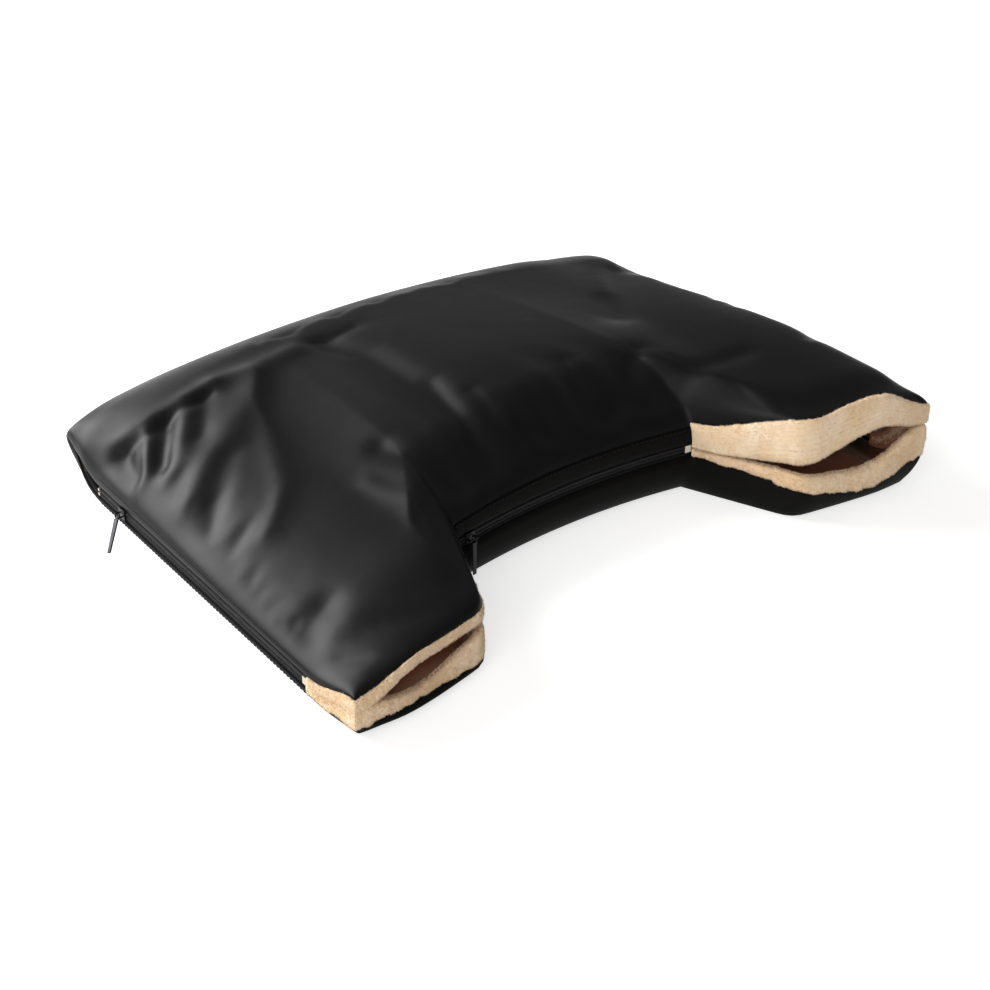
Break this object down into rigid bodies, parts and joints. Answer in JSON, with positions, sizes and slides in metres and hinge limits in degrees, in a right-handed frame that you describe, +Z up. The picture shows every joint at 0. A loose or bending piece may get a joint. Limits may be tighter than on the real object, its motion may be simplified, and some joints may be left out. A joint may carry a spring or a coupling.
{
  "type": "stroller hand muff",
  "caption": "Padded muff for a stroller's handlebar: curved black outer cloth, cream fleece lining, a hand opening at each front corner, and zips along both sides and the front.",
  "frame": {"origin": "on the table under the middle of the muff, at the centre of its box in plan", "axes": "+X from the left hand opening to the right one, +Y from the hand openings to the rounded back, +Z up"},
  "size_m": [0.5786, 0.4382, 0.0978],
  "materials": {
    "satin": "satin",
    "wadding": "matte",
    "fleece": "matte",
    "tape": "matte",
    "coil": "satin",
    "gunmetal": "satin",
    "nickel": "satin"
  },
  "bodies": {
    "muff": {"bottom_lining": "fleece", "bottom_shell": "satin", "bottom_wadding": "wadding", "front_placket": "satin", "front_zip_end_box": "nickel", "front_zip_lower_stop": "nickel", "front_zip_lower_tape": "tape", "front_zip_lower_teeth": "coil", "front_zip_upper_stop": "nickel", "front_zip_upper_tape": "tape", "front_zip_upper_teeth": "coil", "left_bottom_cuff": "fleece", "left_top_cuff": "fleece", "left_zip_end_box": "nickel", "left_zip_lower_stop": "nickel", "left_zip_lower_tape": "tape", "left_zip_lower_teeth": "coil", "left_zip_upper_stop": "nickel", "left_zip_upper_tape": "tape", "left_zip_upper_teeth": "coil", "right_bottom_cuff": "fleece", "right_top_cuff": "fleece", "right_zip_end_box": "nickel", "right_zip_lower_stop": "nickel", "right_zip_lower_tape": "tape", "right_zip_lower_teeth": "coil", "right_zip_upper_stop": "nickel", "right_zip_upper_tape": "tape", "right_zip_upper_teeth": "coil", "top_lining": "fleece", "top_shell": "satin", "top_wadding": "wadding"},
    "left_slider": {"left_zip_slider": "gunmetal"},
    "left_pull": {"left_zip_pull": "gunmetal"},
    "right_slider": {"right_zip_slider": "gunmetal"},
    "right_pull": {"right_zip_pull": "gunmetal"},
    "front_slider": {"front_zip_slider": "gunmetal"},
    "front_pull": {"front_zip_pull": "gunmetal"}
  },
  "joints": [
    {"name": "left_zip_slide", "type": "slide", "parent": "muff", "child": "left_slider", "axis": [0, 1, 0], "range_m": [-0.245, 0.033]},
    {"name": "left_pull_swing", "type": "hinge", "parent": "left_slider", "child": "left_pull", "pos_m": [-0.2708, 0.09008, 0.019], "axis": [0, 1, 0], "range_deg": [-45, 140]},
    {"name": "right_zip_slide", "type": "slide", "parent": "muff", "child": "right_slider", "axis": [0, 1, 0], "range_m": [-0.245, 0.033]},
    {"name": "right_pull_swing", "type": "hinge", "parent": "right_slider", "child": "right_pull", "pos_m": [0.2708, 0.09008, 0.019], "axis": [0, -1, 0], "range_deg": [-45, 140]},
    {"name": "front_zip_slide", "type": "hinge", "parent": "muff", "child": "front_slider", "pos_m": [0, -0.6676, 0.04], "axis": [0, 0, 1], "range_deg": [-20.2, 0.7]},
    {"name": "front_pull_swing", "type": "hinge", "parent": "front_slider", "child": "front_pull", "pos_m": [-0.09643, -0.12084, 0.04], "axis": [-0.9848, -0.1737, 0], "range_deg": [-4, 165]}
  ]
}
